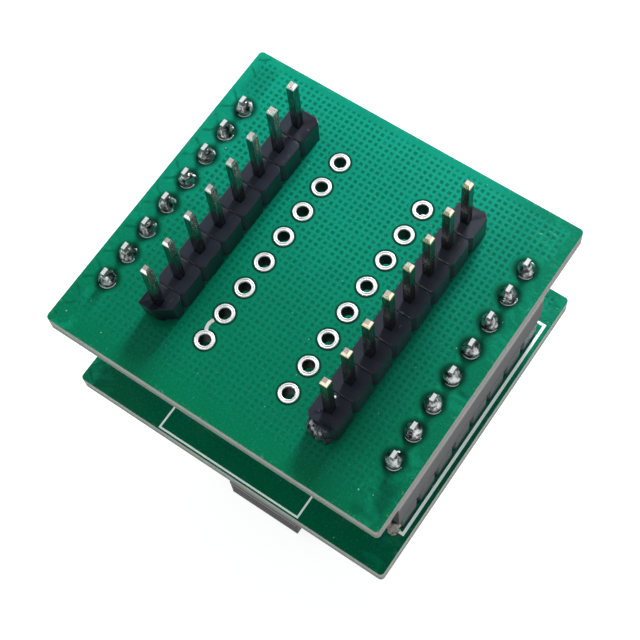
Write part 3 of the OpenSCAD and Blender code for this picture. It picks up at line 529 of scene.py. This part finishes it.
# printed lines on the socket board's near face, in ink that glows a little as painted light
def frame_lines(bm, x0, x1, y0, y1, w, z, t=0.02):
    outer = [(x0 - w / 2, y0 - w / 2), (x1 + w / 2, y0 - w / 2), (x1 + w / 2, y1 + w / 2), (x0 - w / 2, y1 + w / 2)]
    inner = [(x0 + w / 2, y0 + w / 2), (x1 - w / 2, y0 + w / 2), (x1 - w / 2, y1 - w / 2), (x0 + w / 2, y1 - w / 2)]
    lay = []
    for h in (z, z + t):
        lay.append([[bm.verts.new((x * MM, y * MM, h * MM)) for x, y in ring] for ring in (outer, inner)])
    (o0, i0), (o1, i1) = lay
    for i in range(4):
        j = (i + 1) % 4
        bm.faces.new((o1[i], o1[j], i1[j], i1[i]))
        bm.faces.new((o0[i], i0[i], i0[j], o0[j]))
        bm.faces.new((o0[i], o0[j], o1[j], o1[i]))
        bm.faces.new((i0[j], i0[i], i1[i], i1[j]))


def printing():
    bm = bmesh.new()
    frame_lines(bm, -6.85, 6.85, -13.78, 13.78, 0.16, NEAR_Z)
    for s in (-1, 1):
        frame_lines(bm, min(s * 11.65, s * 14.52), max(s * 11.65, s * 14.52), -10.3, 10.85, 0.24, NEAR_Z)
    make("printed_lines", bm, ink, "socket_unit", smooth=False)


# whitened flakes left where the right header strip was snapped, and a crumb on its top
def flakes():
    rnd = random.Random(5)
    bm = bmesh.new()
    spots = [(7.02, -10.32, 1.9, 0.34), (7.20, -10.48, 1.5, 0.30), (7.45, -10.55, 1.0, 0.32), (7.75, -10.42, 1.3, 0.26),
             (8.05, -10.38, 0.7, 0.30), (8.30, -10.30, 0.45, 0.22), (7.35, -10.40, 0.45, 0.30), (6.95, -10.25, 1.2, 0.24)]
    for x, y, h, r in spots:
        got = bmesh.ops.create_icosphere(bm, subdivisions=2, radius=r * MM)
        s = rnd.uniform(0, 50)
        for v in got["verts"]:
            n = noise.noise(v.co * 5200 + Vector((s, s, s)))
            v.co *= 1.0 + 0.9 * n
            v.co.x *= 0.55
            v.co.y *= 0.5
            v.co += Vector((x * MM, y * MM, (FACE_Z + h) * MM))
    make("torn_flakes", bm, flake_white, "plug_unit", smooth=False)
    bm = bmesh.new()
    for x, y, z, size in ((13.10, -10.32, 19.1, 0.34), (13.45, -10.34, 19.8, 0.36), (13.85, -10.34, 19.2, 0.36),
                          (13.30, -10.36, 20.4, 0.30), (13.95, -10.36, 20.2, 0.32), (13.55, -10.60, 19.4, 0.30),
                          (13.85, -10.62, 19.8, 0.30), (13.70, -10.86, 19.5, 0.24), (13.95, -10.84, 19.3, 0.20)):
        at = (x, y, z)
        got = bmesh.ops.create_icosphere(bm, subdivisions=2, radius=size * MM)
        s = rnd.uniform(0, 50)
        for v in got["verts"]:
            v.co *= 1.0 + 0.9 * noise.noise(v.co * 5200 + Vector((s, s, s)))
            v.co.y *= 0.85
            v.co += Vector(at) * MM
    make("torn_plug_flakes", bm, flake_brown, "socket_unit", smooth=False)
    # the crumb is made of the glowing ink: painted light
    bm = bmesh.new()
    got = bmesh.ops.create_icosphere(bm, subdivisions=2, radius=0.09 * MM)
    for v in got["verts"]:
        v.co *= 1.0 + 0.5 * noise.noise(v.co * 9000)
        v.co += Vector((7.41 * MM, -7.94 * MM, (HEAD_Z + 0.03) * MM))
    make("crumb", bm, ink, "plug_unit", smooth=False)


for side in (-1, 1):
    plated(side)
    joints(side)
printing()
flakes()


# Floor, light and camera
def studio():
    bm = bmesh.new()
    bmesh.ops.create_grid(bm, x_segments=1, y_segments=1, size=3.0)
    me = bpy.data.meshes.new("floor")
    bm.to_mesh(me)
    bm.free()
    floor = bpy.data.objects.new("floor", me)
    floor.location.z = -0.00002
    bpy.context.scene.collection.objects.link(floor)
    m = bpy.data.materials.new("floor_white")
    m.use_nodes = True
    t = m.node_tree
    t.nodes.clear()
    out = t.nodes.new("ShaderNodeOutputMaterial")
    dif = t.nodes.new("ShaderNodeBsdfDiffuse")
    dif.inputs["Color"].default_value = (0.80, 0.80, 0.80, 1)
    seen = t.nodes.new("ShaderNodeBsdfDiffuse")
    seen.inputs["Color"].default_value = (0.34, 0.34, 0.34, 1)
    glow = t.nodes.new("ShaderNodeEmission")
    glow.inputs["Color"].default_value = (1, 1, 1, 1)
    glow.inputs["Strength"].default_value = 0.84
    both = t.nodes.new("ShaderNodeAddShader")
    t.links.new(seen.outputs[0], both.inputs[0])
    t.links.new(glow.outputs[0], both.inputs[1])
    path = t.nodes.new("ShaderNodeLightPath")
    a = t.nodes.new("ShaderNodeMath")
    a.operation = "ADD"
    b = t.nodes.new("ShaderNodeMath")
    b.operation = "ADD"
    b.use_clamp = True
    t.links.new(path.outputs["Is Camera Ray"], a.inputs[0])
    t.links.new(path.outputs["Is Glossy Ray"], a.inputs[1])
    t.links.new(a.outputs[0], b.inputs[0])
    t.links.new(path.outputs["Is Transmission Ray"], b.inputs[1])
    mix = t.nodes.new("ShaderNodeMixShader")
    t.links.new(b.outputs[0], mix.inputs[0])
    t.links.new(dif.outputs[0], mix.inputs[1])
    t.links.new(both.outputs[0], mix.inputs[2])
    t.links.new(mix.outputs[0], out.inputs["Surface"])
    me.materials.append(m)

    w = bpy.context.scene.world or bpy.data.worlds.new("studio")
    bpy.context.scene.world = w
    w.use_nodes = True
    t = w.node_tree
    t.nodes.clear()
    out = t.nodes.new("ShaderNodeOutputWorld")
    soft = t.nodes.new("ShaderNodeBackground")
    soft.inputs["Color"].default_value = (0.93, 0.97, 1.0, 1)
    soft.inputs["Strength"].default_value = 0.50
    white = t.nodes.new("ShaderNodeBackground")
    white.inputs["Color"].default_value = (1, 1, 1, 1)
    white.inputs["Strength"].default_value = 1.0
    # in reflections the walls are white up to a height, and the ceiling is dim
    tc = t.nodes.new("ShaderNodeTexCoord")
    sep = t.nodes.new("ShaderNodeSeparateXYZ")
    t.links.new(tc.outputs["Generated"], sep.inputs[0])
    rng = t.nodes.new("ShaderNodeMapRange")
    rng.interpolation_type = "SMOOTHSTEP"
    for i, v in enumerate((None, 0.25, 0.72, 1.0, 0.025)):
        if v is not None:
            rng.inputs[i].default_value = v
    t.links.new(sep.outputs[2], rng.inputs[0])
    gloss = t.nodes.new("ShaderNodeBackground")
    t.links.new(rng.outputs[0], gloss.inputs["Strength"])
    path = t.nodes.new("ShaderNodeLightPath")
    m1 = t.nodes.new("ShaderNodeMixShader")
    m2 = t.nodes.new("ShaderNodeMixShader")
    t.links.new(path.outputs["Is Glossy Ray"], m1.inputs[0])
    t.links.new(soft.outputs[0], m1.inputs[1])
    t.links.new(gloss.outputs[0], m1.inputs[2])
    t.links.new(path.outputs["Is Camera Ray"], m2.inputs[0])
    t.links.new(m1.outputs[0], m2.inputs[1])
    t.links.new(white.outputs[0], m2.inputs[2])
    t.links.new(m2.outputs[0], out.inputs["Surface"])


def lamp(name, where, target, size, watts, color=(1, 1, 1)):
    d = bpy.data.lights.new(name, "AREA")
    d.shape, d.size, d.size_y = "RECTANGLE", size[0], size[1]
    d.energy, d.color = watts, color
    o = bpy.data.objects.new(name, d)
    o.location = where
    o.rotation_mode = "QUATERNION"
    o.rotation_quaternion = (Vector(target) - Vector(where)).to_track_quat("-Z", "Y")
    bpy.context.scene.collection.objects.link(o)


def camera():
    d = bpy.data.cameras.new("camera")
    d.sensor_width, d.lens = 36.0, 82.711
    d.clip_start, d.clip_end = 0.002, 20.0
    o = bpy.data.objects.new("camera", d)
    m = Matrix(((0.8208503453, -0.5018881568, 0.2726040880),
                (0.5677644528, 0.7688900720, -0.2940265011),
                (-0.0620341582, 0.3961266658, 0.9160979358))).to_4x4()
    m.translation = Vector((0.03211975, -0.03489320, 0.13090908))
    o.matrix_world = m
    bpy.context.scene.collection.objects.link(o)
    bpy.context.scene.camera = o


studio()
lamp("key", (-0.02, 0.150, 0.130), (0.0, 0.004, 0.031), (0.05, 0.05), 0.46)
lamp("fill", (0.16, -0.10, 0.12), (0.0, 0.0, 0.025), (0.12, 0.12), 0.035)
lamp("left", (-0.18, -0.04, 0.13), (0.0, 0.0, 0.025), (0.12, 0.12), 0.09)
camera()
bpy.context.scene.view_settings.view_transform = "Standard"
